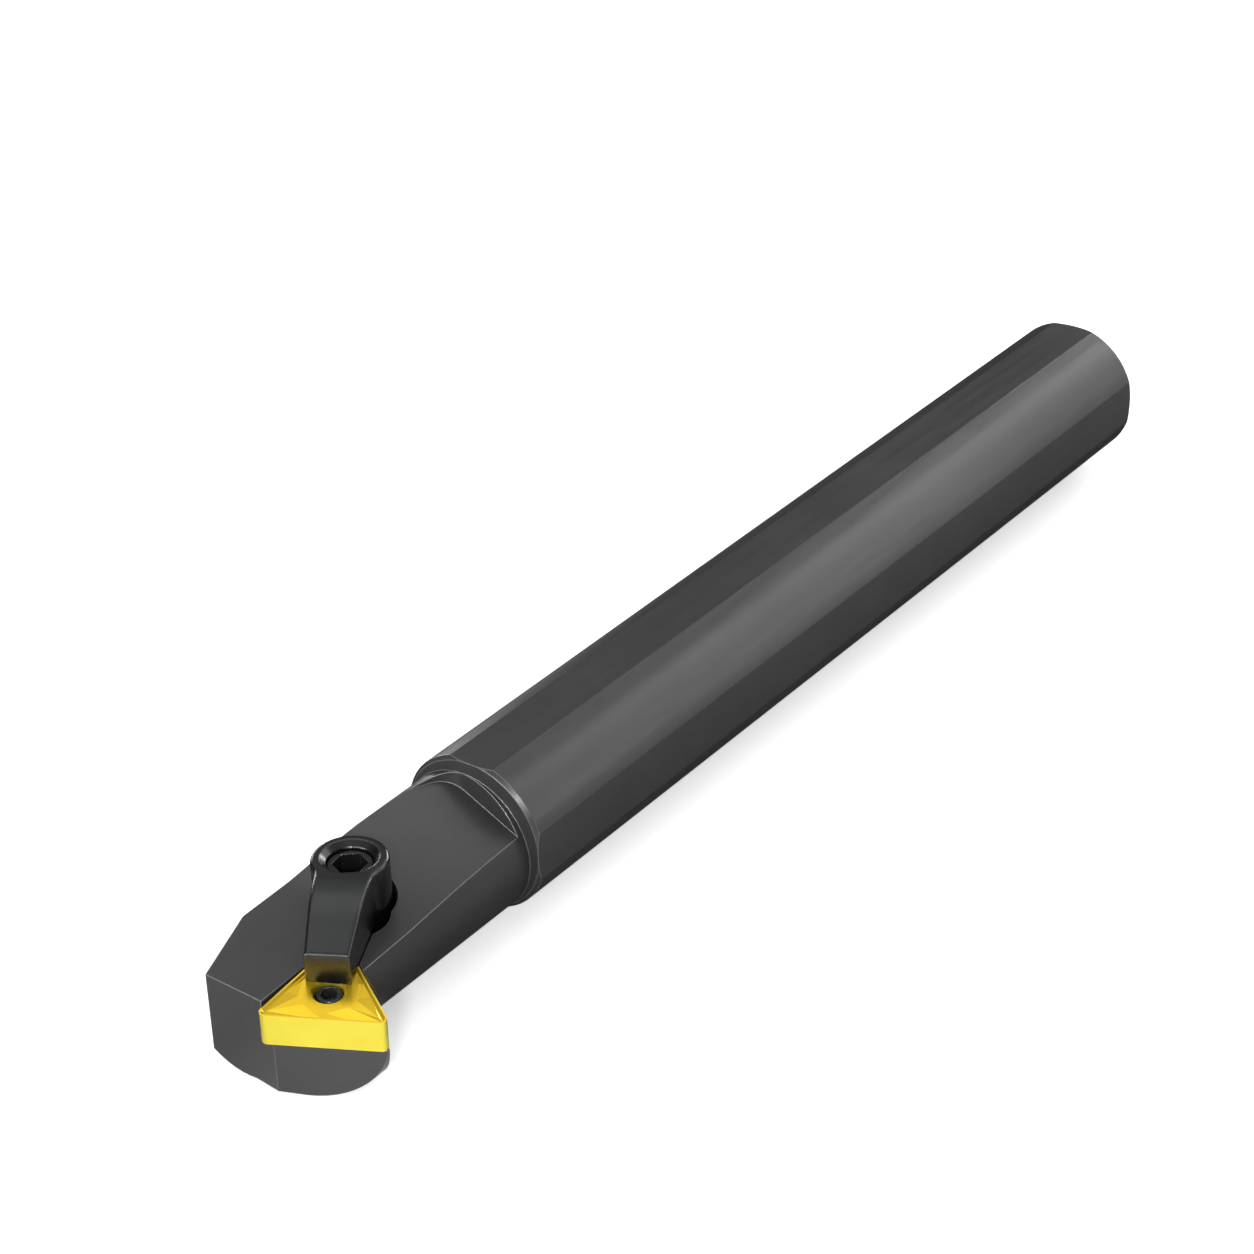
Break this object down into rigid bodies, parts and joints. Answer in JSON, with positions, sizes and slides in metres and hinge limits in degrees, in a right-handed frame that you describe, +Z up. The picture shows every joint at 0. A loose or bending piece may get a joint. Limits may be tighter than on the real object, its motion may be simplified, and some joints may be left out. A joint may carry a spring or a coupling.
{
  "type": "boring bar",
  "caption": "Indexable boring bar: round steel shank with flats, eccentric neck, and a head holding a clamped, pinned triangular insert.",
  "frame": {"origin": "centre of the shank's rear end face", "axes": "X along the shank with the head at -X, the cutting nose on the -Y side, +Z up out of the insert's top"},
  "size_m": [0.2, 0.0268, 0.0225],
  "materials": {
    "bar_steel": "dark oxide, satin",
    "clamp_steel": "dark oxide, satin",
    "screw_steel": "black oxide",
    "gold_carbide": "gold nitride coating on carbide"
  },
  "bodies": {
    "bar": {"bar_body": "bar_steel", "insert": "gold_carbide"},
    "clamp": {"clamp": "clamp_steel"},
    "clamp_screw": {"clamp_screw": "screw_steel"},
    "lock_pin": {"lock_pin": "screw_steel"}
  },
  "joints": [
    {"name": "clamp_lift", "type": "slide", "parent": "bar", "child": "clamp", "axis": [0, 0, 1], "range_m": [0, 0.003]},
    {"name": "screw_turn", "type": "hinge", "parent": "clamp", "child": "clamp_screw", "pos_m": [-0.17764, 0.00112, 0.00758], "axis": [0, 0, 1], "range_deg": [0, 541]},
    {"name": "lock_pin_turn", "type": "hinge", "parent": "bar", "child": "lock_pin", "pos_m": [-0.19226, -0.00726, 0.00071], "axis": [-0.104, -0.104, 0.9891], "range_deg": [0, 180]}
  ],
  "couplings": [
    {"joint": "screw_turn", "follows": "clamp_lift", "rad_per_m": 3141.6}
  ]
}
